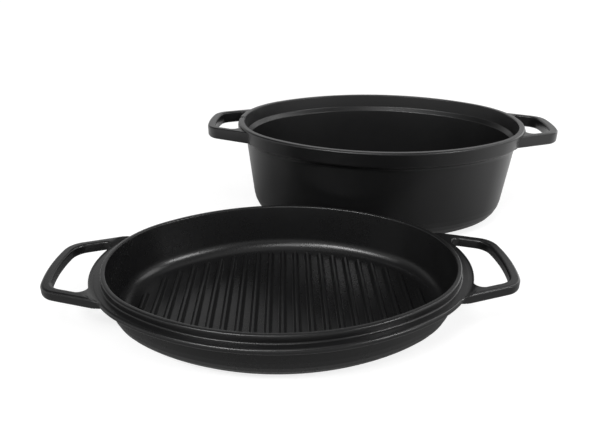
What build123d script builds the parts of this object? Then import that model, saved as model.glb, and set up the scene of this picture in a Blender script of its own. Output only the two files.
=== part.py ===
from build123d import *
import math
import os

# Casserole with a grill lid: an oval cast pot and a cast lid that is also a ribbed grill pan.
# Each casting is one piece, with its two loop handles cast on.
# Sizes are millimetres and angles are degrees. The pot stands at the origin, its long side
# along X. The lid stands in front of it, ribs up, as it does when it is used as a grill.
# Every oval is the rim's oval drawn in by an inset, which is the same all the way round.

# The rim's oval, which the pot's rim and the lid's flange share: two long side arcs and two
# end arcs that run smoothly into each other. The side arcs' radius is a share of what an
# ellipse of this size has there.
rim_half_length = 152.4
rim_half_width = 113.0
rim_side_share = 0.93
rim_land = 6.2
lid_fit_gap = 1.0

# The pot: collar, wall, floor and the ledge inside
pot_height = 105.5
pot_wall = 4.0
pot_floor = 5.0
pot_draft = 6.2
pot_base_radius = 28.0
pot_floor_radius = 22.0
collar_height = 15.0
collar_flare = 3.0
collar_underside = 4.0
neck_inset = 8.0
ledge_depth = 15.5
ledge_width = 3.0
rim_outer_bevel = 1.0
rim_inner_bevel = 0.8
ledge_bevel = 0.8

# The steam notch across the pot's rim, at the left end
notch_width = 5.0
notch_depth = 2.2

# The pot's loop handles
pot_handle_drop = 2.5
pot_handle_thickness = 12.4
pot_handle_length = 32.6
pot_handle_tip_half = 29.9
pot_handle_tip_bow = 140.0
pot_handle_splay = 22.5
pot_handle_tip_bar = 8.4
pot_handle_arm = 7.0
pot_handle_corner = 19.0
pot_handle_web = 0.5
pot_hole_outer_corner = 13.0
pot_hole_inner_corner = 6.0
pot_handle_under_bevel = 1.8
pot_handle_cove = 7.0
pot_cove_overlap = 0.4

# The lid: spigot, flange, wall and grill floor
lid_height = 48.0
spigot_height = 6.5
spigot_wall = 4.0
spigot_top_bevel = 0.8
flange_thickness = 4.5
flange_overhang = 10.0
flange_bevel = 1.0
flange_cove = 1.8
lid_draft = 6.0
lid_inner_draft = 8.4
lid_base_radius = 23.5
lid_floor = 6.0
lid_floor_radius = 15.0

# The grill ribs on the lid's floor
rib_pitch = 11.73
rib_height = 3.3
rib_base_width = 6.0
rib_top_width = 2.0
rib_end_margin = 13.4

# The lid's loop handles
lid_handle_rise = 2.0
lid_handle_thickness = 9.0
lid_handle_length = 36.9
lid_handle_tip_half = 37.9
lid_handle_tip_bow = 155.0
lid_handle_splay = 18.5
lid_handle_tip_bar = 8.2
lid_handle_arm = 7.9
lid_handle_corner = 18.0
lid_handle_web = 2.2
lid_hole_outer_corner = 14.0
lid_hole_inner_corner = 6.0
lid_handle_top_bevel = 1.2
lid_handle_under_bevel = 1.7
lid_handle_step_gap = 0.8
lid_handle_ramp = 4.0

# Where the lid stands: its shift along the pot as a share of the half length, how far its
# flange reaches in under the pot's rim, and how far it is turned
lid_shift_share = 0.586
lid_tuck = 17.1
lid_turn = 4.4

# Where a handle starts inside its casting, as a share of the rim's half length, and how
# closely an edge has to match a place to be the one that is looked for
handle_root_share = 0.72
match = 0.05

# Sizes that follow from the ones above
collar_bottom = pot_height - collar_height
neck_height = collar_bottom - collar_underside
ledge_height = pot_height - ledge_depth
flange_top = lid_height - spigot_height
flange_bottom = flange_top - flange_thickness
spigot_inset = rim_land + lid_fit_gap
lid_floor_inset = spigot_inset + spigot_wall + (lid_height - lid_floor) * math.tan(
    math.radians(lid_inner_draft)
)
rib_row_half = rim_half_length - lid_floor_inset - rib_end_margin - rib_base_width / 2
rib_count = 2 * int(rib_row_half / rib_pitch) + 1
pot_handle_reach = rim_half_length + pot_handle_length
lid_handle_reach = rim_half_length + lid_handle_length
handle_root_x = handle_root_share * rim_half_length

# The side arcs' centres lie off_side from the oval's own centre, and the end arcs' off_end
rim_side_radius = rim_side_share * rim_half_length**2 / rim_half_width
off_side = rim_side_radius - rim_half_width
rim_end_radius = (off_side**2 + rim_half_length**2 - rim_side_radius**2) / (
    2 * (rim_half_length - rim_side_radius)
)
off_end = rim_half_length - rim_end_radius
join_angle = math.atan2(off_side, off_end)


def rise(angle, height):
    """How far a drafted wall leans over the height."""
    return height * math.tan(math.radians(angle))


def oval(inset, height):
    """Face of the rim's oval drawn in by the inset, at the height."""
    join_x = off_end + (rim_end_radius - inset) * math.cos(join_angle)
    join_y = (rim_end_radius - inset) * math.sin(join_angle)
    end_x = rim_half_length - inset
    side_y = rim_half_width - inset
    arcs = [
        ThreePointArc((join_x, -join_y), (end_x, 0), (join_x, join_y)),
        ThreePointArc((join_x, join_y), (0, side_y), (-join_x, join_y)),
        ThreePointArc((-join_x, join_y), (-end_x, 0), (-join_x, -join_y)),
        ThreePointArc((-join_x, -join_y), (0, -side_y), (join_x, -join_y)),
    ]
    return Pos(0, 0, height) * make_face(arcs)


def oval_solid(*stations):
    """Straight-sided solid through ovals, each given as its inset and height."""
    return loft([oval(inset, height) for inset, height in stations], ruled=True)


def edges_at(shape, height, inset):
    """The four arcs of the shape that run round the given oval at the given height."""
    found = ShapeList()
    for edge in shape.edges():
        box = edge.bounding_box()
        flat = box.size.Z < match and abs(box.min.Z - height) < match
        at_end = abs(max(abs(box.min.X), abs(box.max.X)) - rim_half_length + inset) < match
        at_side = abs(max(abs(box.min.Y), abs(box.max.Y)) - rim_half_width + inset) < match
        if flat and (at_end or at_side):
            found.append(edge)
    return found


def splayed_outline(near_x, far_x, far_half, bow, splay):
    """Face with a bowed far end, and two sides that splay apart towards its near end."""
    corner_x = far_x - bow + math.sqrt(bow**2 - far_half**2)
    near_half = far_half + rise(splay, corner_x - near_x)
    end = ThreePointArc((corner_x, -far_half), (far_x, 0), (corner_x, far_half))
    sides = Polyline(
        (corner_x, far_half), (near_x, near_half), (near_x, -near_half), (corner_x, -far_half)
    )
    return make_face([end, sides])


def handle_outline(reach, tip_half, bow, splay, corner):
    """Plan of a handle's outside, from inside the casting to the tip."""
    outline = splayed_outline(handle_root_x, reach, tip_half, bow, splay)
    return fillet([v for v in outline.vertices() if v.X > handle_root_x + 1], corner)


def handle_hole(reach, tip_half, bow, splay, tip_bar, arm, web, outer_corner, inner_corner):
    """Plan of the finger hole, which follows the rim's oval on its inner side."""
    far_x = reach - tip_bar
    far_half = tip_half - arm + rise(splay, tip_bar)
    hole = splayed_outline(handle_root_x, far_x, far_half, bow - tip_bar, splay) - oval(-web, 0)
    middle_x = (far_x + rim_half_length) / 2
    hole = fillet([v for v in hole.vertices() if v.X > middle_x], outer_corner)
    points = [v for v in hole.vertices() if abs(v.Y) > far_half and v.X < middle_x]
    inner_points = ShapeList(points).sort_by(Axis.X)[:2]
    return fillet(inner_points, inner_corner)


def plate(outline, hole, top, thickness):
    """Handle plate with its finger hole, hanging down from the height top."""
    return extrude(Pos(0, 0, top - thickness) * (outline - hole), thickness)


def bevelled_edges(solid, height, size):
    """Bevel the plate's long edges at one height, but not the end inside the casting."""
    chosen = ShapeList()
    for edge in solid.edges():
        box = edge.bounding_box()
        flat = box.size.Z < match and abs(box.min.Z - height) < match
        if flat and box.max.X > handle_root_x + 1:
            chosen.append(edge)
    return chamfer(chosen, size)


def mirrored(solid):
    """The solid and its mirror image at the other end."""
    return solid + mirror(solid, Plane.YZ)


def pot_outside():
    """Drafted oval wall with a rounded base, and the flared collar above it."""
    base_inset = neck_inset + rise(pot_draft, neck_height)
    body = oval_solid(
        (base_inset, 0), (neck_inset, neck_height), (collar_flare, collar_bottom),
        (0, pot_height - rim_outer_bevel), (rim_outer_bevel, pot_height),
    )
    return fillet(edges_at(body, 0, base_inset), pot_base_radius)


def pot_inside():
    """Hollow of the pot: the drafted inside and the wider rebate above the ledge."""
    top_inset = neck_inset + pot_wall - rise(pot_draft, ledge_height - neck_height)
    floor_inset = neck_inset + pot_wall + rise(pot_draft, neck_height - pot_floor)
    hollow = oval_solid(
        (floor_inset, pot_floor), (top_inset, ledge_height - ledge_bevel),
        (top_inset - ledge_bevel, ledge_height),
    )
    hollow = fillet(edges_at(hollow, pot_floor, floor_inset), pot_floor_radius)
    rebate = oval_solid(
        (top_inset - ledge_width, ledge_height), (rim_land, pot_height - rim_inner_bevel),
        (rim_land - rim_inner_bevel, pot_height),
    )
    return hollow + rebate


def pot_handle():
    """Loop handle of the pot, with the cove that joins its underside to the wall."""
    top = pot_height - pot_handle_drop
    under = top - pot_handle_thickness
    outline = handle_outline(
        pot_handle_reach, pot_handle_tip_half, pot_handle_tip_bow, pot_handle_splay,
        pot_handle_corner,
    )
    hole = handle_hole(
        pot_handle_reach, pot_handle_tip_half, pot_handle_tip_bow, pot_handle_splay,
        pot_handle_tip_bar, pot_handle_arm, pot_handle_web, pot_hole_outer_corner,
        pot_hole_inner_corner,
    )
    loop = plate(outline, hole, top, pot_handle_thickness)
    loop = bevelled_edges(loop, under, pot_handle_under_bevel)
    return loop + pot_handle_cove_under(outline, under)


def cove_inset(height):
    """Inset of a line just inside the pot's wall at the height."""
    return neck_inset + pot_cove_overlap + rise(pot_draft, neck_height - height)


def pot_handle_cove_under(outline, under):
    """Hollow curve of metal between the handle's underside and the pot's wall."""
    top = under + pot_cove_overlap
    root = top - pot_handle_cove - pot_cove_overlap
    brim_inset = cove_inset(top) - pot_handle_cove - pot_cove_overlap
    stem = oval_solid((cove_inset(root), root), (cove_inset(top), top))
    brim = oval_solid((brim_inset, top), (brim_inset, top + pot_cove_overlap))
    ring = fillet(edges_at(stem + brim, top, cove_inset(top)), pot_handle_cove)
    return ring & extrude(outline, pot_height)


def pot():
    """The whole pot casting."""
    body = pot_outside() + mirrored(pot_handle())
    return body - steam_notch() - pot_inside()


def steam_notch():
    """Slot across the rim at the left end, which lets steam out under the lid."""
    slot = Box(2 * rim_land, notch_width, 2 * notch_depth)
    return Pos(rim_land / 2 - rim_half_length, 0, pot_height) * slot


def lid_outside():
    """Outside of the lid's pan, its flange and the spigot that drops into the pot."""
    foot_inset = flange_overhang + rise(lid_draft, flange_bottom - flange_cove)
    pan = oval_solid(
        (foot_inset, 0), (flange_overhang, flange_bottom - flange_cove),
        (flange_overhang - flange_cove, flange_bottom),
    )
    pan = fillet(edges_at(pan, 0, foot_inset), lid_base_radius)
    flange = oval_solid(
        (flange_bevel, flange_bottom), (0, flange_bottom + flange_bevel),
        (0, flange_top - flange_bevel), (flange_bevel, flange_top),
    )
    spigot = oval_solid(
        (spigot_inset, flange_top), (spigot_inset, lid_height - spigot_top_bevel),
        (spigot_inset + spigot_top_bevel, lid_height),
    )
    return pan + flange + spigot


def lid_inside():
    """Hollow of the lid's pan, down to the grill floor."""
    top_inset = spigot_inset + spigot_wall
    hollow = oval_solid(
        (lid_floor_inset, lid_floor), (top_inset, lid_height - spigot_top_bevel),
        (top_inset - spigot_top_bevel, lid_height),
    )
    return fillet(edges_at(hollow, lid_floor, lid_floor_inset), lid_floor_radius)


def lid_handle():
    """Loop handle of the lid, which stands a little higher than the flange."""
    top = flange_top + lid_handle_rise
    outline = handle_outline(
        lid_handle_reach, lid_handle_tip_half, lid_handle_tip_bow, lid_handle_splay,
        lid_handle_corner,
    )
    hole = handle_hole(
        lid_handle_reach, lid_handle_tip_half, lid_handle_tip_bow, lid_handle_splay,
        lid_handle_tip_bar, lid_handle_arm, lid_handle_web, lid_hole_outer_corner,
        lid_hole_inner_corner,
    )
    loop = plate(outline, hole, top, lid_handle_thickness)
    loop = bevelled_edges(loop, top, lid_handle_top_bevel)
    loop = bevelled_edges(loop, top - lid_handle_thickness, lid_handle_under_bevel)
    seat = oval_solid(
        (-lid_handle_step_gap, flange_top), (-lid_handle_step_gap - lid_handle_ramp, top),
        (-lid_handle_step_gap - lid_handle_ramp, lid_height),
    )
    return loop - seat


def half_width_at(x, inset):
    """Half the width of the oval drawn in by the inset, at the distance x from its middle."""
    join_x = off_end + (rim_end_radius - inset) * math.cos(join_angle)
    if x > join_x:
        return math.sqrt((rim_end_radius - inset) ** 2 - (x - off_end) ** 2)
    return math.sqrt((rim_side_radius - inset) ** 2 - x**2) - off_side


def grill_rib(x):
    """One tapered rib across the floor, which ends where the floor starts to curve up."""
    reach = half_width_at(abs(x) + rib_base_width / 2, lid_floor_inset + rib_end_margin)
    narrowing = rib_base_width - rib_top_width
    foot = Rectangle(rib_base_width, 2 * reach)
    crest = Pos(0, 0, rib_height) * Rectangle(rib_top_width, 2 * reach - narrowing)
    return Pos(x, 0, lid_floor) * loft([foot, crest], ruled=True)


def lid():
    """The whole lid casting, in its own place with its long side along X."""
    body = lid_outside() + mirrored(lid_handle()) - lid_inside()
    middle = (rib_count - 1) / 2
    return body + [grill_rib((number - middle) * rib_pitch) for number in range(rib_count)]


def main():
    os.makedirs("parts", exist_ok=True)
    export_step(pot(), "parts/casserole_pot.step")
    lid_place_x = -lid_shift_share * rim_half_length
    lid_place_y = lid_tuck - 2 * rim_half_width
    lid_place = Pos(lid_place_x, lid_place_y, 0) * Rot(0, 0, lid_turn)
    export_step(lid_place * lid(), "parts/grill_lid.step")


main()
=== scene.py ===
# %% [markdown]
# # A casserole with a grill lid
# Two castings in black iron: an oval pot, and a lid that stands beside it with its grill ribs
# up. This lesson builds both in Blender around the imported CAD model, which is the frame: it
# says where each casting is and how large it is, and which of them moves.

import bmesh
import bpy
import math
import numpy as np
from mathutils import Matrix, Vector


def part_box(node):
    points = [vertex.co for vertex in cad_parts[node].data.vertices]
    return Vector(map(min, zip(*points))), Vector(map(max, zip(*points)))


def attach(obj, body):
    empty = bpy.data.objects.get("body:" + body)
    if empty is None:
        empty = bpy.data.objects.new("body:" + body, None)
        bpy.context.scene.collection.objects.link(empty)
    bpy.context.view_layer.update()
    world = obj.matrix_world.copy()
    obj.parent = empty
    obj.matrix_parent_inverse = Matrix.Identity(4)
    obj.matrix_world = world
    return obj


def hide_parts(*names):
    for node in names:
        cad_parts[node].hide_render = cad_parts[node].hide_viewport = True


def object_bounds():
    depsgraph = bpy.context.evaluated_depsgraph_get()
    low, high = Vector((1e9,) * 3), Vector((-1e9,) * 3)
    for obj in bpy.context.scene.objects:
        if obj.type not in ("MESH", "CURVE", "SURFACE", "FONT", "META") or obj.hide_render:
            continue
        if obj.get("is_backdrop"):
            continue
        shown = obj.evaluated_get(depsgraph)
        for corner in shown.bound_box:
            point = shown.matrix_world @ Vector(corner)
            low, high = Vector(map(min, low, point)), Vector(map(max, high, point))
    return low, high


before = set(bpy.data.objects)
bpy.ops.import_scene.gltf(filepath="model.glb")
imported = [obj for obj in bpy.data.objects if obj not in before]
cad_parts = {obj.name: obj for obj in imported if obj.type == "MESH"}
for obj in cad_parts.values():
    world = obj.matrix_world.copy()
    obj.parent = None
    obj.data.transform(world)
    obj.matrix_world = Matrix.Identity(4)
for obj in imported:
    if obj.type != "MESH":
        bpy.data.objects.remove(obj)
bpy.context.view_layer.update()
pot_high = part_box("casserole_pot")[1]
lid_low, lid_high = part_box("grill_lid")

# %% [markdown]
# ## The oval
# Both castings follow one oval: two long side arcs and two end arcs that run smoothly into
# each other. Such an oval has an exact offset, because every arc keeps its centre and only its
# radius shrinks. So a point on any line round the pot is given by the direction that the wall
# faces there, and by how far the line is drawn in from the rim.

# %% The rim's oval
MM = 0.001
rim_half_length = 152.4 * MM
rim_half_width = pot_high.y
rim_side_share = 0.93
rim_side_radius = rim_side_share * rim_half_length**2 / rim_half_width
off_side = rim_side_radius - rim_half_width
rim_end_radius = (off_side**2 + rim_half_length**2 - rim_side_radius**2) / (
    2 * (rim_half_length - rim_side_radius)
)
off_end = rim_half_length - rim_end_radius
join_angle = math.atan2(off_side, off_end)


def on_oval(angle, inset):
    """Point of the inset oval where its wall faces the angle."""
    facing = np.array([math.cos(angle), math.sin(angle)])
    if abs(facing[1]) < math.sin(join_angle):
        centre = np.array([math.copysign(off_end, facing[0]), 0.0])
        return centre + (rim_end_radius - inset) * facing
    centre = np.array([0.0, -math.copysign(off_side, facing[1])])
    return centre + (rim_side_radius - inset) * facing


print("end radius", round(rim_end_radius, 4), "side radius", round(rim_side_radius, 4))

# %% [markdown]
# ## Rounded profiles
# A casting has no sharp edge: the sand rounds it, and so does the coat. A wall's cross-section
# is drawn as a few corners, each with its inset, its height and its radius, and a helper turns
# every corner into an arc. A point just before and after each arc keeps the arc's shading from
# creeping into the flat beside it.

# %% Rounding a profile
ARC_STEP = math.radians(13)
SUPPORT = 0.5 * MM


def corner_arc(before, corner, after, radius):
    """Points that round one corner between its neighbours."""
    to_before, to_after = before - corner, after - corner
    room = min(np.linalg.norm(to_before), np.linalg.norm(to_after))
    to_before = to_before / np.linalg.norm(to_before)
    to_after = to_after / np.linalg.norm(to_after)
    opening = math.acos(np.clip(to_before @ to_after, -1, 1))
    reach = min(radius / math.tan(opening / 2), 0.98 * room)
    radius = reach * math.tan(opening / 2)
    middle = (to_before + to_after) / np.linalg.norm(to_before + to_after)
    centre = corner + middle * radius / math.sin(opening / 2)
    first = corner + to_before * reach - centre
    last = corner + to_after * reach - centre
    steps = max(2, math.ceil((math.pi - opening) / ARC_STEP))
    swing = math.atan2(first[0] * last[1] - first[1] * last[0], first @ last)
    points = []
    for turn in np.linspace(0, swing, steps + 1):
        cos, sin = math.cos(turn), math.sin(turn)
        points.append(centre + [first[0] * cos - first[1] * sin, first[0] * sin + first[1] * cos])
    return points


def with_supports(points):
    """The points, with one more near both ends of every long straight run."""
    full = [points[0]]
    for before, after in zip(points, points[1:]):
        run = np.linalg.norm(after - before)
        if run > 6 * SUPPORT:
            full.append(before + (after - before) * SUPPORT / run)
            full.append(after - (after - before) * SUPPORT / run)
        full.append(after)
    return full


def rounded_profile(corners):
    """Line through (inset, height, radius) corners in millimetres, every corner rounded."""
    spots = [np.array(corner[:2]) * MM for corner in corners]
    points = [spots[0]]
    for k in range(1, len(corners) - 1):
        points += corner_arc(spots[k - 1], spots[k], spots[k + 1], corners[k][2] * MM)
    points.append(spots[-1])
    return with_supports(points)


# %% [markdown]
# ## Node trees in plain Python
# A node tree is easier to read as arithmetic than as a list of links. One small class wraps a
# socket, so that an expression on it adds the Math nodes, and one method adds every other
# node: its settings first, because some of them change which sockets it has, and then its
# sockets' values or links.

# %% Arithmetic on sockets
class Amount:
    """A number in a node tree that plain arithmetic works on."""

    def __init__(self, work, socket):
        self.work = work
        self.socket = socket

    def math(self, operation, *others):
        return self.work.math(operation, self, *others)

    def __add__(self, other):
        return self.math("ADD", other)

    def __sub__(self, other):
        return self.math("SUBTRACT", other)

    def __rsub__(self, other):
        return self.work.math("SUBTRACT", other, self)

    def __mul__(self, other):
        return self.math("MULTIPLY", other)

    def __truediv__(self, other):
        return self.math("DIVIDE", other)

    __radd__ = __add__
    __rmul__ = __mul__


class NodeWork:
    """Adds nodes to one tree."""

    def __init__(self, tree):
        self.tree = tree

    def feed(self, socket, value):
        """Links or sets one socket."""
        value = value.socket if isinstance(value, Amount) else value
        if isinstance(value, bpy.types.NodeSocket):
            self.tree.links.new(value, socket)
        else:
            socket.default_value = value

    def node(self, kind, inputs=None, stops=None, **settings):
        """Adds a node with its settings, its ramp's stops and its sockets."""
        made = self.tree.nodes.new(kind)
        for key, value in settings.items():
            setattr(made, key, value)
        if stops:
            ramp = made.color_ramp.elements
            while len(ramp) < len(stops):
                ramp.new(0.5)
            for element, (place, tone) in zip(ramp, stops):
                element.position = place
                element.color = (tone, tone, tone, 1)
        for key, value in (inputs or {}).items():
            self.feed(made.inputs[key], value)
        return made

    def math(self, operation, *values):
        made = self.node("ShaderNodeMath", dict(enumerate(values)), operation=operation)
        return Amount(self, made.outputs[0])


# %% [markdown]
# ## Sweeping a wall round the oval
# Each vessel is one profile carried round one oval. That is a rule, so a small Geometry Nodes
# tree makes it: the oval and the profile go in as two curves, and Curve to Mesh carries one
# along the other. The ring that comes out is open at the base and at the floor, because a
# profile can't be carried in past the oval's own centres. Two flat faces close it afterwards.

# %% Curves and trees
def poly_curve(name, points, cyclic):
    """Curve object of straight runs through the points."""
    data = bpy.data.curves.new(name, "CURVE")
    data.dimensions = "3D"
    line = data.splines.new("POLY")
    line.points.add(len(points) - 1)
    for spot, point in zip(line.points, points):
        spot.co = (point[0], point[1], 0, 1)
    line.use_cyclic_u = cyclic
    made = bpy.data.objects.new(name, data)
    bpy.context.scene.collection.objects.link(made)
    return made


class Growth(NodeWork):
    """A Geometry Nodes tree with named inputs."""

    def __init__(self, name, inputs):
        super().__init__(bpy.data.node_groups.new(name, "GeometryNodeTree"))
        sides = self.tree.interface
        sides.new_socket("Geometry", in_out="OUTPUT", socket_type="NodeSocketGeometry")
        for title, kind in inputs.items():
            sides.new_socket(title, in_out="INPUT", socket_type="NodeSocket" + kind)
        sockets = self.node("NodeGroupInput").outputs
        self.given = {title: Amount(self, sockets[title]) for title in inputs}

    def shape_of(self, title):
        """Geometry of the object given under the title."""
        told = self.node("GeometryNodeObjectInfo", {"Object": self.given[title]})
        return told.outputs["Geometry"]

    def finish(self, mesh):
        """Ends the tree in one plain mesh with its material."""
        smooth = self.node("GeometryNodeSetShadeSmooth", {"Geometry": mesh})
        plain = self.node("GeometryNodeRealizeInstances", {"Geometry": smooth.outputs[0]})
        coated = self.node("GeometryNodeSetMaterial", {
            "Geometry": plain.outputs[0], "Material": self.given["Material"],
        })
        self.node("NodeGroupOutput", {"Geometry": coated.outputs[0]})

    def grow(self, name, **values):
        """Plain mesh object of what the tree makes with the values."""
        carrier = bpy.data.objects.new(name + "_carrier", bpy.data.meshes.new(name + "_seed"))
        bpy.context.scene.collection.objects.link(carrier)
        modifier = carrier.modifiers.new("growth", "NODES")
        modifier.node_group = self.tree
        for item in self.tree.interface.items_tree:
            if item.in_out == "INPUT":
                modifier[item.identifier] = values[item.name.replace(" ", "_").lower()]
        seen = carrier.evaluated_get(bpy.context.evaluated_depsgraph_get())
        mesh = bpy.data.meshes.new_from_object(seen)
        carrier.modifiers.remove(modifier)
        bpy.data.objects.remove(carrier)
        made = bpy.data.objects.new(name, mesh)
        bpy.context.scene.collection.objects.link(made)
        return made


# %% The sweep
sweep = Growth("sweep", {"Path": "Object", "Profile": "Object", "Material": "Material"})
sweep.finish(sweep.node("GeometryNodeCurveToMesh", {
    "Curve": sweep.shape_of("Path"), "Profile Curve": sweep.shape_of("Profile"),
}).outputs["Mesh"])
print("sweep tree has", len(sweep.tree.nodes), "nodes")

# %% [markdown]
# The oval is walked in even steps, with many short ones at the left end, where the pot's
# narrow steam notch needs them.

# %% Walking the oval
ring_step = 2.8 * MM
notch_half = 2.5 * MM


def ring_angles(fine_half):
    """Angles round the oval in even steps, and fine ones near the left end."""
    stops = [0.0]
    while stops[-1] < 2 * math.pi:
        on_end = abs(math.sin(stops[-1])) < math.sin(join_angle)
        stops.append(stops[-1] + ring_step / (rim_end_radius if on_end else rim_side_radius))
    fine = fine_half / rim_end_radius
    last = 2 * math.pi - 0.5 * ring_step / rim_end_radius
    stops = [turn for turn in stops if turn < last and abs(turn - math.pi) > fine]
    return sorted(stops + list(np.linspace(math.pi - fine, math.pi + fine, 33)))


rim_angles = ring_angles(2.2 * notch_half)
rim_path = poly_curve("rim_path", [on_oval(turn, 0) for turn in rim_angles], True)
print(len(rim_angles), "steps round the oval")

# %% [markdown]
# ## The finish
# The whole set is one finish: cast iron under a thin satin black coat. What makes it read as
# iron is small: a fine sandy grain, and patches where the coat lies a little thicker and
# smoother. The grain goes in as bump, and the patches as slow changes of tone and roughness.
# It is one recipe with three uses: the ribs, which food and scrapers rub, are a touch
# different from the pot and the lid.

# %% Shader nodes
class Finish(NodeWork):
    """A material's nodes."""

    def __init__(self, name):
        self.material = bpy.data.materials.new(name)
        self.material.use_nodes = True
        super().__init__(self.material.node_tree)
        self.tree.nodes.clear()
        self.place = self.node("ShaderNodeTexCoord").outputs["Object"]

    def noise(self, scale, detail, roughness=0.5):
        """Noise with scale in features per metre."""
        made = self.node("ShaderNodeTexNoise", {
            "Vector": self.place, "Scale": scale, "Detail": detail, "Roughness": roughness,
        })
        return Amount(self, made.outputs["Fac"])

    def pits(self, scale):
        """Small round pits: low in the middle, level outside."""
        cells = self.node("ShaderNodeTexVoronoi", {"Vector": self.place, "Scale": scale})
        made = self.node(
            "ShaderNodeValToRGB", {"Fac": cells.outputs["Distance"]}, ((0.05, 0.0), (0.35, 1.0))
        )
        return Amount(self, made.outputs["Color"])

    def mix(self, share, one, other):
        """Colour between one and other."""
        made = self.node("ShaderNodeMix", {0: share, 6: one, 7: other}, data_type="RGBA")
        return made.outputs[2]


def satin_iron(name, tone, roughness, grain):
    """Satin black coat over cast iron; grain is how deep its grain is, in metres."""
    work = Finish(name)
    patches = work.noise(14.0, 3.0)
    mottle = work.noise(150.0, 4.0, 0.6)
    relief = work.noise(1100.0, 3.0, 0.65) * 0.6 + mottle * 0.2 + work.pits(420.0) * 0.2
    darker, lighter = 0.72, 1.28
    colour = work.mix(
        patches * 0.6 + mottle * 0.4, [darker * part for part in tone] + [1.0],
        [lighter * part for part in tone] + [1.0],
    )
    bump = work.node("ShaderNodeBump", {"Strength": 1.0, "Distance": grain, "Height": relief})
    slow, fast = 0.06, 0.05
    uneven = patches * slow + mottle * fast + (roughness - (slow + fast) / 2)
    surface = work.node("ShaderNodeBsdfPrincipled", {
        "Base Color": colour, "Roughness": uneven,
        "Normal": bump.outputs["Normal"], "Specular IOR Level": 0.48,
    })
    work.node("ShaderNodeOutputMaterial", {"Surface": surface.outputs["BSDF"]})
    return work.material


black = (0.0080, 0.0080, 0.0083)
pot_iron = satin_iron("pot_iron", black, 0.32, 0.00003)
lid_iron = satin_iron("lid_iron", black, 0.28, 0.00003)
rib_iron = satin_iron("rib_iron", black, 0.31, 0.00004)
print("finishes", pot_iron.name, lid_iron.name, rib_iron.name)

# %% [markdown]
# ## The pot's body
# Read the corners as a walk: out along the base, up the drafted wall, out to the collar, over
# the flat rim, down into the rebate that takes the lid, in over the ledge, and down the
# inside to the floor. The ledge is a short steep slope here, so that it catches the light as
# one line.

# %% The pot's profile
def lean(draft, height):
    """How far a drafted wall leans over the height."""
    return height * math.tan(math.radians(draft))


pot_height = pot_high.z / MM
pot_draft, pot_wall, pot_floor = 6.2, 4.0, 5.0
neck_inset, neck_height = 8.0, pot_height - 19.0
collar_flare, collar_bottom = 3.0, pot_height - 15.0
rim_land, ledge_height, ledge_width = 6.2, pot_height - 15.5, 3.0
base_inset = neck_inset + lean(pot_draft, neck_height)
inner_neck = neck_inset + pot_wall
ledge_inset = inner_neck - lean(pot_draft, ledge_height - neck_height)
floor_inset = inner_neck + lean(pot_draft, neck_height - pot_floor)
pot_corners = [
    (60.0, 0, 0), (base_inset, 0, 28.0), (neck_inset, neck_height, 7.0),
    (collar_flare, collar_bottom, 4.0), (0, pot_height, 1.8), (rim_land, pot_height, 1.0),
    (ledge_inset - ledge_width - 0.2, ledge_height + 1.9, 1.3),
    (ledge_inset + 0.15, ledge_height - 2.4, 1.3),
    (floor_inset, pot_floor, 22.0), (60.0, pot_floor, 0),
]


def cast_vessel(name, corners, material):
    """Closed casting of the profile round the oval."""
    profile = poly_curve(name + "_profile", -np.array(rounded_profile(corners)), False)
    made = sweep.grow(name, path=rim_path, profile=profile, material=material)
    bpy.data.objects.remove(profile)
    shell = bmesh.new()
    shell.from_mesh(made.data)
    bmesh.ops.remove_doubles(shell, verts=shell.verts, dist=1e-6)
    bmesh.ops.holes_fill(shell, edges=[edge for edge in shell.edges if edge.is_boundary], sides=0)
    bmesh.ops.recalc_face_normals(shell, faces=shell.faces)
    for face in shell.faces:
        face.smooth = True
    shell.to_mesh(made.data)
    shell.free()
    return made


def points_of(made):
    """The mesh's points as rows of x, y and z."""
    flat = np.zeros(len(made.data.vertices) * 3)
    made.data.vertices.foreach_get("co", flat)
    return flat.reshape(-1, 3)


def move_points(made, points):
    """Gives the mesh new points."""
    made.data.vertices.foreach_set("co", points.reshape(-1))
    made.data.update()


pot_shell = cast_vessel("pot_shell", pot_corners, pot_iron)
print("pot", points_of(pot_shell).min(0).round(4), points_of(pot_shell).max(0).round(4))

# %% [markdown]
# The steam notch is a shallow slot across the rim's left end. The rim's own faces are pressed
# down there, and the press fades out over a short slope, so the notch has rounded sides.

# %% The steam notch
def ease(value):
    """Smooth step from 0 to 1."""
    value = np.clip(value, 0, 1)
    return value * value * (3 - 2 * value)


notch_depth, notch_side = 2.2 * MM, 0.9 * MM
spots = points_of(pot_shell)
across = 1 - ease((np.abs(spots[:, 1]) - notch_half + notch_side / 2) / notch_side)
near_top = ease((spots[:, 2] - (pot_height - 4.5) * MM) / (2.5 * MM))
press = across * near_top * (spots[:, 0] < -0.9 * rim_half_length)
spots[:, 2] -= notch_depth * press
move_points(pot_shell, spots)
print("notch presses", int((press > 0.5).sum()), "points")

# %% [markdown]
# ## The loop handles
# A handle is a bar bent round a finger hole and cast onto the rim. Its plan has two closed
# lines, the outside and the hole, and both are made of the same five stretches: the bowed tip,
# the outer corner, the straight arm, the corner where the arm meets the rim, and the web along
# the rim. Walking both lines in the same steps gives matching points, and a rounded section
# between each pair makes the bar. A boolean could cut the hole as well, but it would leave
# the rounded edges to a bevel that such corners often break.

# %% Arcs in plan
def direction(start, end):
    """Angle of the line from start to end."""
    return math.atan2(end[1] - start[1], end[0] - start[0])


def polar(angle):
    return np.array([math.cos(angle), math.sin(angle)])


def arc(centre, radius, start, end, steps):
    """Points on an arc, the short way round, without the first."""
    swing = (end - start + math.pi) % (2 * math.pi) - math.pi
    return [centre + radius * polar(start + swing * k / steps) for k in range(1, steps + 1)]


def straight(start, end, steps):
    """Points on a straight run, without the first."""
    return [start + (end - start) * k / steps for k in range(1, steps + 1)]


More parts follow.
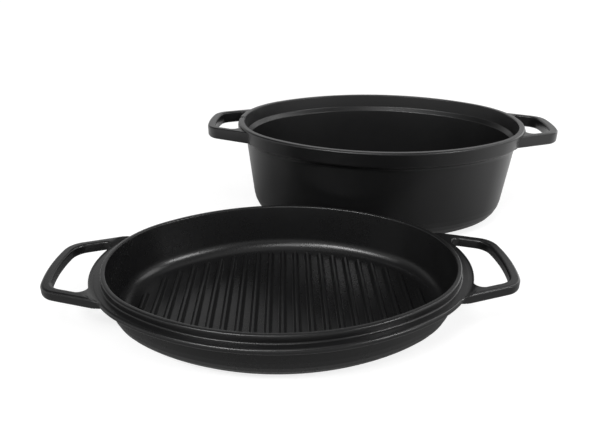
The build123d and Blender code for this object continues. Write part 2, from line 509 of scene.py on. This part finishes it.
def first_touch(point, along, centre, distance):
    """How far along the line its first point at the distance from the centre is."""
    offset = point - centre
    middle = offset @ along
    return -middle - math.sqrt(middle**2 - offset @ offset + distance**2)


# %% A handle's two lines
end_centre = np.array([off_end, 0.0])
tip_steps, corner_steps, arm_steps, root_steps, web_steps = 12, 16, 34, 12, 14


class Side:
    """Half of a handle's line: its bowed tip, and the arm that splays from it."""

    def __init__(self, far_x, far_half, bow, splay):
        self.bow = bow
        self.bow_centre = np.array([far_x - bow, 0.0])
        self.along = np.array([-math.cos(splay), math.sin(splay)])
        self.inward = np.array([-math.sin(splay), -math.cos(splay)])
        self.corner = self.bow_centre + [math.sqrt(bow**2 - far_half**2), far_half]

    def beside(self, distance, run):
        """Point at the run along the arm, and at the distance inwards from it."""
        return self.corner + run * self.along + distance * self.inward

    def tip(self, radius):
        """The tip and its rounded corner, up to the straight arm."""
        run = first_touch(self.beside(radius, 0), self.along, self.bow_centre, self.bow - radius)
        middle = self.beside(radius, run)
        leave = direction(self.bow_centre, middle)
        meets = direction(middle, self.beside(0, run))
        line = [self.bow_centre + [self.bow, 0.0]]
        line += arc(self.bow_centre, self.bow, 0, leave, tip_steps)
        return line + arc(middle, radius, leave, meets, corner_steps)

    def root(self, line, radius, rim):
        """Adds the arm and its rounded corner at the rim; radius is below 0 outside the bar."""
        run = first_touch(self.beside(radius, 0), self.along, end_centre, rim + abs(radius))
        middle, meets = self.beside(radius, run), self.beside(0, run)
        line = line + straight(line[-1], meets, arm_steps)
        landing = direction(end_centre, middle)
        start = direction(middle, meets)
        return line + arc(middle, abs(radius), start, landing + math.pi, root_steps), landing


def handle_lines(plan):
    """The outside and the hole of one handle, as closed lines of matching points.

    The outside's last curve touches a circle a little inside the rim, the plan's sink, so the
    arm runs into the casting without a step.
    """
    splay, bar = plan["splay"], plan["tip_bar"]
    outer = Side(plan["reach"], plan["tip_half"], plan["bow"], splay)
    meets = rim_end_radius - plan["sink"]
    line, landing = outer.root(outer.tip(plan["corner"]), -plan["root_round"], meets)
    buried = rim_end_radius - plan["root_depth"]
    line = line + straight(line[-1], end_centre + buried * polar(landing), 4)
    outside = line + arc(end_centre, buried, landing, 0, web_steps - 4)
    hole_half = plan["tip_half"] - plan["arm"] + bar * math.tan(splay)
    inner = Side(plan["reach"] - bar, hole_half, plan["bow"] - bar, splay)
    web = rim_end_radius + plan["web"]
    line, landing = inner.root(inner.tip(plan["hole_corner"]), plan["hole_root"], web)
    return closed(outside), closed(line + arc(end_centre, web, landing, 0, web_steps))


def closed(half):
    """Whole line from its half with y above 0."""
    half = np.array(half)
    return np.vstack([half, half[1:-1][::-1] * [1, -1]])


def left_normals(line):
    """Unit normals to the left of a closed line."""
    along = np.roll(line, -1, 0) - np.roll(line, 1, 0)
    along /= np.linalg.norm(along, axis=1)[:, None]
    return np.stack([-along[:, 1], along[:, 0]], 1)


# %% [markdown]
# The section is a bar with rounded edges, larger ones below than above, because fingers hook
# in under it. Each of its rows says how far it lies from the hole to the outside, how far
# it is drawn in from those two lines, and its height. The lid's handle stands a little above
# the flange and comes down to it over a short ramp.

# %% A handle's section
def section_rows(top, under, top_round, under_round, steps=6, faces=7):
    """Rows (share from hole to outside, inset, height) round the bar."""
    turns = np.linspace(0, math.pi / 2, steps + 1)
    upper = [(top_round * (1 - math.cos(t)), top - top_round * (1 - math.sin(t))) for t in turns]
    lower = [
        (under_round * (1 - math.cos(t)), under + under_round * (1 - math.sin(t))) for t in turns
    ]
    shares = np.linspace(0, 1, faces + 1)[1:-1]
    rows = [(0, *spot) for spot in upper] + [(share, top_round, top) for share in shares]
    rows += [(1, *spot) for spot in upper[::-1]] + [(1, *spot) for spot in lower]
    rows += [(share, under_round, under) for share in shares[::-1]]
    return rows + [(0, *spot) for spot in lower[::-1]]


def skin(name, grid, material, wrap=True):
    """Closed mesh over a grid of points whose rows are closed lines."""
    rows, columns = grid.shape[:2]
    mesh = bpy.data.meshes.new(name)
    last = columns if wrap else columns - 1
    faces = [
        (r * columns + c, r * columns + (c + 1) % columns,
         (r + 1) % rows * columns + (c + 1) % columns, (r + 1) % rows * columns + c)
        for r in range(rows) for c in range(last)
    ]
    if not wrap:
        faces += [[r * columns for r in range(rows)], [r * columns + last for r in range(rows)]]
    mesh.from_pydata(grid.reshape(-1, 3), [], faces)
    mesh.materials.append(material)
    made = bpy.data.objects.new(name, mesh)
    bpy.context.scene.collection.objects.link(made)
    return made


def handle(name, plan, material):
    """One handle at the right end, as a closed ring of metal."""
    outside, hole = handle_lines(plan)
    from_outside, from_hole = left_normals(outside), -left_normals(hole)
    grid = []
    rows = section_rows(plan["top"], plan["under"], plan["top_round"], plan["under_round"])
    for share, inset, height in rows:
        beside_hole, beside_outside = hole + inset * from_hole, outside + inset * from_outside
        plane = beside_hole * (1 - share) + beside_outside * share
        grid.append(np.column_stack([plane, np.full(len(plane), height)]))
    return skin(name, np.array(grid), material)


# %% [markdown]
# The pot's handles lie just below the rim, and a hollow curve of metal under each one carries
# it into the wall.

# %% The pot's handles
pot_plan = {
    "reach": pot_high.x, "tip_half": 29.9 * MM, "bow": 140.0 * MM, "splay": math.radians(22.5),
    "tip_bar": 8.4 * MM, "arm": 7.0 * MM, "corner": 19.0 * MM, "web": 0.5 * MM,
    "hole_corner": 13.0 * MM, "hole_root": 6.0 * MM, "root_round": 9.0 * MM,
    "sink": 2.6 * MM, "root_depth": 5.5 * MM,
    "top": (pot_height - 2.5) * MM, "under": (pot_height - 14.9) * MM,
    "top_round": 1.6 * MM, "under_round": 2.8 * MM,
}
pot_handle = handle("pot_handle", pot_plan, pot_iron)
spots = points_of(pot_handle)
print("pot handle", spots.min(0).round(4), spots.max(0).round(4))


def mirrored(made, name):
    """Copy of the piece at the left end."""
    points = points_of(made) * [-1, 1, 1]
    mesh = made.data.copy()
    copy = bpy.data.objects.new(name, mesh)
    bpy.context.scene.collection.objects.link(copy)
    move_points(copy, points)
    return copy


def cove(name, half_angle, plan, material):
    """Hollow curve of metal between the wall and the underside of a handle."""
    size, overlap = 7.0 * MM, 0.4 * MM
    top, inset = plan["under"] + overlap, neck_inset * MM + overlap
    back, roof, below_ledge = inset + 1.2 * MM, top + 1.0 * MM, ledge_height * MM - 1.5 * MM
    turns = np.linspace(0, math.pi / 2, 9)
    line = [(back, top - size), *(
        (inset - size * (1 - math.cos(t)), top - size * (1 - math.sin(t))) for t in turns
    )]
    line += [(inset - size, roof), (rim_land * MM - 1.5 * MM, roof), (back, below_ledge)]
    grid = [
        [[*on_oval(turn, across), height] for turn in np.linspace(-half_angle, half_angle, 40)]
        for across, height in line
    ]
    return skin(name, np.array(grid), material, wrap=False)


pot_cove = cove("pot_cove", math.radians(26), pot_plan, pot_iron)

# %% [markdown]
# ## The lid's body
# The lid is a shallow pan with a flange round its rim. Turned over, the flange rests on the
# pot's rim, and the raised ring inside it, the spigot, drops into the pot's rebate and keeps
# the lid in place.

# %% The lid's profile
lid_height, flange_top, flange_bottom = 48.0, 41.5, 37.0
lid_draft, lid_inner_draft, lid_floor = 6.0, 8.4, 6.0
flange_overhang, spigot_inset, spigot_wall = 10.0, 7.2, 4.0
lid_base_inset = flange_overhang + lean(lid_draft, flange_bottom - 1.8)
spigot_inner = spigot_inset + spigot_wall
lid_floor_inset = spigot_inner + lean(lid_inner_draft, lid_height - lid_floor)
lid_corners = [
    (60.0, 0, 0), (lid_base_inset, 0, 23.5), (flange_overhang, flange_bottom, 2.5),
    (0, flange_bottom, 1.8), (0, flange_top, 2.0), (spigot_inset, flange_top, 1.2),
    (spigot_inset, lid_height, 1.5), (spigot_inner, lid_height, 1.2),
    (lid_floor_inset, lid_floor, 12.0), (60.0, lid_floor, 0),
]
lid_shell = cast_vessel("lid_shell", lid_corners, lid_iron)
print("lid", points_of(lid_shell).min(0).round(4), points_of(lid_shell).max(0).round(4))

# %% The lid's handles
lid_plan = {
    "reach": rim_half_length + 36.9 * MM, "tip_half": 37.9 * MM, "bow": 155.0 * MM,
    "splay": math.radians(18.5), "tip_bar": 8.2 * MM, "arm": 7.9 * MM, "corner": 18.0 * MM,
    "web": 2.2 * MM, "hole_corner": 14.0 * MM, "hole_root": 6.0 * MM, "root_round": 9.0 * MM,
    "sink": 2.4 * MM, "root_depth": 11.5 * MM,
    "top": (flange_top + 2.0) * MM, "under": (flange_top - 7.0) * MM,
    "top_round": 2.0 * MM, "under_round": 2.6 * MM,
}
lid_handle = handle("lid_handle", lid_plan, lid_iron)

# %% [markdown]
# Near the rim the lid's handle is pressed flatter: from above it comes down to just under the
# flange's face over a short ramp, and from below it rises to the flange's underside.

# %% Pressing the lid's handle into the flange
step_gap, ramp_length, keel_start, keel_length = 0.8 * MM, 4.0 * MM, -2.0 * MM, 9.0 * MM
seat_low, keel_high = (flange_top - 0.05) * MM, (flange_bottom + 0.3) * MM
spots = points_of(lid_handle)
out = np.hypot(spots[:, 0] - off_end, spots[:, 1]) - rim_end_radius
share = np.clip((out - step_gap) / ramp_length, 0, 1)
seat = seat_low + share * (lid_plan["top"] - seat_low)
upper = spots[:, 2] > (flange_top - 2.0) * MM
spots[upper, 2] = np.minimum(spots[upper, 2], seat[upper])
rising = 1 - ease((out - keel_start) / keel_length)
keel = lid_plan["under"] + (keel_high - lid_plan["under"]) * rising
lower = spots[:, 2] < keel_high
spots[lower, 2] = np.maximum(spots[lower, 2], keel[lower])
move_points(lid_handle, spots)
print("lid handle", spots.min(0).round(4), spots.max(0).round(4))

# %% [markdown]
# ## The grill ribs
# Twenty-one ribs cross the lid's floor, evenly spaced, each as long as the floor is wide
# there. Repeats that follow a rule are what Geometry Nodes are for. One straight line is
# placed once for each rib, its points are then moved out to the edge of the floor, and a
# rounded section is carried along it. Towards its ends the section shrinks, which gives a rib
# its rounded nose.

# %% The rib tree
ribs = Growth("ribs", {
    "Count": "Int", "Pitch": "Float", "Floor": "Float", "Foot Half": "Float", "Nose": "Float",
    "Side Radius": "Float", "Side Centre": "Float", "End Radius": "Float",
    "End Centre": "Float", "Join": "Float", "Profile": "Object", "Material": "Material",
})
given = ribs.given


def vector(work, x=0.0, y=0.0, z=0.0):
    """Vector from three numbers or sockets."""
    return work.node("ShaderNodeCombineXYZ", {"X": x, "Y": y, "Z": z}).outputs[0]


first_rib = (1 - given["Count"]) * given["Pitch"] * 0.5
row = ribs.node("GeometryNodeMeshLine", {
    "Count": given["Count"], "Offset": vector(ribs, given["Pitch"]),
    "Start Location": vector(ribs, first_rib, 0.0, given["Floor"]),
}, mode="OFFSET")
one = ribs.node("GeometryNodeCurvePrimitiveLine", {"Start": (0, -1, 0), "End": (0, 1, 0)})
one = ribs.node("GeometryNodeResampleCurve", {"Curve": one.outputs[0], "Count": 18})
each = ribs.node("GeometryNodeInstanceOnPoints", {
    "Points": row.outputs[0], "Instance": one.outputs[0],
})
lines = ribs.node("GeometryNodeRealizeInstances", {"Geometry": each.outputs[0]}).outputs[0]

# %% How long each rib is
at = ribs.node("ShaderNodeSeparateXYZ", {0: ribs.node("GeometryNodeInputPosition").outputs[0]})
x, t, z = (Amount(ribs, socket) for socket in at.outputs)
foot = x.math("ABSOLUTE") + given["Foot Half"]
from_end = foot - given["End Centre"]
on_side = (given["Side Radius"] * given["Side Radius"] - foot * foot).math("SQRT")
on_end = (given["End Radius"] * given["End Radius"] - from_end * from_end).math("SQRT")
is_side = foot.math("LESS_THAN", given["Join"])
reach = is_side * (on_side - given["Side Centre"]) + (1 - is_side) * on_end
body_share = 0.3
size = t.math("ABSOLUTE")
into_nose = ((size - body_share) / (1 - body_share)).math("MAXIMUM", 0.0) * (math.pi / 2)
body_part = (size / body_share).math("MINIMUM", 1.0) * (reach - given["Nose"])
y = t.math("SIGN") * (body_part + given["Nose"] * into_nose.math("SINE"))
shaped = ribs.node("GeometryNodeSetPosition", {
    "Geometry": lines, "Position": vector(ribs, x, y, z),
})
thick = ribs.node("GeometryNodeSetCurveRadius", {
    "Curve": shaped.outputs[0], "Radius": into_nose.math("COSINE").math("MAXIMUM", 0.03),
})
upright = ribs.node("GeometryNodeSetCurveNormal", {"Curve": thick.outputs[0]}, mode="Z_UP")
ribs.finish(ribs.node("GeometryNodeCurveToMesh", {
    "Curve": upright.outputs[0], "Profile Curve": ribs.shape_of("Profile"), "Fill Caps": True,
}).outputs["Mesh"])

# %% [markdown]
# The rib's section is a low trapezium with a rounded crest, and a small hollow curve at its
# foot runs out onto the floor, because a mould has no sharp inner corners either.

# %% Casting the ribs
rib_count, rib_pitch, rib_height = 21, 11.73, 3.3
rib_inset = (lid_floor_inset + 13.4) * MM
rib_side = [
    (4.1, -0.3, 0), (4.1, -0.02, 0.05), (3.0, -0.02, 1.3), (1.0, rib_height, 0.75),
    (0, rib_height, 0),
]
half_rib = np.array(rounded_profile(rib_side))
rib_line = np.vstack([half_rib, half_rib[:-1][::-1] * [-1, 1]]) * [1, -1]
rib_profile = poly_curve("rib_profile", rib_line, True)
join_x = off_end + (rim_end_radius - rib_inset) * math.cos(join_angle)
lid_ribs = ribs.grow(
    "lid_grill_ribs", count=rib_count, pitch=rib_pitch * MM, floor=lid_floor * MM,
    foot_half=3.0 * MM, nose=4.0 * MM, side_radius=rim_side_radius - rib_inset,
    side_centre=off_side, end_radius=rim_end_radius - rib_inset, end_centre=off_end,
    join=join_x, profile=rib_profile, material=rib_iron,
)
spots = points_of(lid_ribs)
print("ribs", spots.min(0).round(4), spots.max(0).round(4), len(lid_ribs.data.polygons), "faces")

# %% [markdown]
# ## Putting the castings together
# Shell and handles are one casting, so they become one mesh. The lid is built at the middle of
# the frame and then turned and moved in its points to where it stands in front of the pot.

# %% Joining
def joined(name, pieces):
    """One mesh object of the pieces, with every closed part facing outwards."""
    whole = bmesh.new()
    for piece in pieces:
        whole.from_mesh(piece.data)
    bmesh.ops.recalc_face_normals(whole, faces=whole.faces)
    for face in whole.faces:
        face.smooth = True
        face.material_index = 0
    mesh = bpy.data.meshes.new(name)
    whole.to_mesh(mesh)
    whole.free()
    mesh.materials.append(pieces[0].data.materials[0])
    for piece in pieces:
        bpy.data.objects.remove(piece)
    made = bpy.data.objects.new(name, mesh)
    bpy.context.scene.collection.objects.link(made)
    return made


def set_down(made):
    """Turns and moves the points of a lid piece to where the lid stands."""
    turn, place = math.radians(4.4), (lid_low + lid_high) / 2
    x, y, z = points_of(made).T
    turned_x = x * math.cos(turn) - y * math.sin(turn) + place.x
    turned_y = x * math.sin(turn) + y * math.cos(turn) + place.y
    move_points(made, np.stack([turned_x, turned_y, z], 1))


pot_parts = [pot_shell, pot_handle, mirrored(pot_handle, "pot_handle_left")]
pot_parts += [pot_cove, mirrored(pot_cove, "pot_cove_left")]
pot_casting = joined("pot_casting", pot_parts)
lid_parts = [lid_shell, lid_handle, mirrored(lid_handle, "lid_handle_left")]
lid_casting = joined("lid_casting", lid_parts)
lid_ribs = joined("lid_grill_ribs", [lid_ribs])
set_down(lid_casting)
set_down(lid_ribs)
for spare in (rim_path, rib_profile):
    bpy.data.objects.remove(spare)

# %% Riding on the frame
for piece, body, node in (
    (pot_casting, "pot", "casserole_pot"), (lid_casting, "lid", "grill_lid"),
    (lid_ribs, "lid", "grill_lid"),
):
    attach(piece, body)
    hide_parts(node)
    made_low, made_high = points_of(piece).min(0), points_of(piece).max(0)
    print(piece.name, made_low.round(4), made_high.round(4), len(piece.data.polygons), "faces")

# %% [markdown]
# ## Floor, light and camera
# The castings stand on a pale floor in front of a white background. Satin black shows almost
# nothing but what it reflects, so floor and room are part of the light. The camera sees the
# floor lifted to white, fully so far away, with a faint shadow near the castings. In mirrored
# rays the floor carries a painted glow, dim in front and bright at the sides and behind: painted
# light that stands for a floor lit from the right and from behind. The room is white along the
# horizon and dim above it.

# %% The floor
def plain_stage(name, size, material):
    """Flat square on the ground."""
    mesh = bpy.data.meshes.new(name)
    corners = [(-size, -size, 0), (size, -size, 0), (size, size, 0), (-size, size, 0)]
    mesh.from_pydata(corners, [], [(0, 1, 2, 3)])
    mesh.materials.append(material)
    made = bpy.data.objects.new(name, mesh)
    bpy.context.scene.collection.objects.link(made)
    made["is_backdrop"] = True
    return made


def rays(work):
    """What kind of ray meets the surface, each kind as 0 or 1."""
    sockets = work.node("ShaderNodeLightPath").outputs
    return {title: Amount(work, socket) for title, socket in sockets.items()}


pale = Finish("pale_floor")
near_lift, far_lift, far_from, far_over = 0.80, 1.00, 0.7, 0.9
dim_mirror, side_from, side_slope, behind_weight, side_middle = 0.06, 0.1, 3.0, 0.7, -0.06
matt = pale.node("ShaderNodeBsdfDiffuse", {"Color": (0.33, 0.33, 0.33, 1)})
ray = rays(pale)
distance = pale.node("ShaderNodeVectorMath", {0: pale.place}, operation="LENGTH")
far = (Amount(pale, distance.outputs["Value"]) - far_from) / far_over
far = far.math("MAXIMUM", 0.0).math("MINIMUM", 1.0)
# painted light: in mirrored rays the floor glows brighter towards the sides and behind, a painted
# reflection of light from the right and behind
spot = pale.node("ShaderNodeSeparateXYZ", {0: pale.place}).outputs
painted_side_glow = (Amount(pale, spot["X"]) - side_middle).math("ABSOLUTE")
painted_side_glow = (painted_side_glow + Amount(pale, spot["Y"]) * behind_weight - side_from) * side_slope
painted_side_glow = painted_side_glow.math("MAXIMUM", 0.0).math("MINIMUM", 1.0)
seen = ray["Is Camera Ray"] + ray["Is Transmission Ray"]
seen = seen + ray["Is Glossy Ray"] * (painted_side_glow + dim_mirror)
strength = seen * (far * (far_lift - near_lift) + near_lift)
lift = pale.node("ShaderNodeEmission", {"Color": (1, 1, 1, 1), "Strength": strength})
both = pale.node("ShaderNodeAddShader", {0: matt.outputs[0], 1: lift.outputs[0]})
pale.node("ShaderNodeOutputMaterial", {"Surface": both.outputs[0]})
plain_stage("floor", 6.0, pale.material)

# %% The room
world = bpy.data.worlds.new("room")
bpy.context.scene.world = world
world.use_nodes = True
room = NodeWork(world.node_tree)
room.tree.nodes.clear()
band_slope, band_white, mirror_dim, fill_light = 1.5, 0.95, 0.05, 0.12
ray = rays(room)
toward = room.node("ShaderNodeTexCoord").outputs["Generated"]
up = Amount(room, room.node("ShaderNodeSeparateXYZ", {0: toward}).outputs["Z"])
low_band = (1 - up.math("ABSOLUTE") * band_slope).math("MAXIMUM", 0.0)
mirror_room = low_band * band_white + mirror_dim
plain_room = (1 - ray["Is Camera Ray"]) * (1 - ray["Is Glossy Ray"]) * fill_light
white = ray["Is Camera Ray"].math("MAXIMUM", ray["Is Transmission Ray"])
strength = white + ray["Is Glossy Ray"] * mirror_room + plain_room
sky = room.node("ShaderNodeBackground", {"Color": (1, 1, 1, 1), "Strength": strength})
room.node("ShaderNodeOutputWorld", {"Surface": sky.outputs[0]})
print("floor and room ready")

# %% [markdown]
# Seven large soft lamps, all turned to the castings. The three in front draw the highlights on
# the lid's floor and ledge, the one overhead and the one behind draw the rims and the handles'
# top faces, and the two on the right graze the pot's side.

# %% The lamps
lamps = (
    ("front_left", (-0.80, -1.30, 1.40), (0.80, 0.36), 18.0),
    ("front_right", (1.20, -0.98, 0.98), (0.40, 0.36), 9.5),
    ("front_top", (-0.15, -1.05, 1.50), (0.50, 0.40), 4.5),
    ("overhead", (0.0, -0.1, 1.50), (1.5, 0.8), 1.6),
    ("right_high", (1.3, 0.2, 1.3), (0.9, 0.9), 7.0),
    ("back", (0.0, 1.5, 0.95), (2.4, 0.8), 2.6),
    ("right_back", (1.4, 1.0, 0.6), (1.0, 1.0), 4.4),
)
middle = Vector((-0.05, -0.1, 0.05))
for name, place, size, power in lamps:
    data = bpy.data.lights.new(name, "AREA")
    data.shape = "RECTANGLE"
    data.size, data.size_y = size
    data.energy = power
    lamp = bpy.data.objects.new(name, data)
    lamp.location = place
    lamp.rotation_euler = (middle - Vector(place)).to_track_quat("-Z", "Y").to_euler()
    bpy.context.scene.collection.objects.link(lamp)
print(len(lamps), "lamps")

# %% The camera
view = bpy.data.cameras.new("view")
view.sensor_width = 36.0
view.lens = 36.01
view.clip_start = 0.01
camera = bpy.data.objects.new("view", view)
camera.location = (-0.0520, -0.6365, 0.2868)
camera.rotation_euler = (math.pi / 2 - 0.44204, 0.0, 0.0533)
bpy.context.scene.collection.objects.link(camera)
bpy.context.scene.camera = camera
bpy.context.scene.view_settings.view_transform = "Standard"
print("camera", tuple(camera.location), "lens", view.lens)

# %% [markdown]
# ## The size
# The box round every piece that is shown, floor left out, is worked out as the dressed part's
# size.

# %% Size
made_low, made_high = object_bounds()
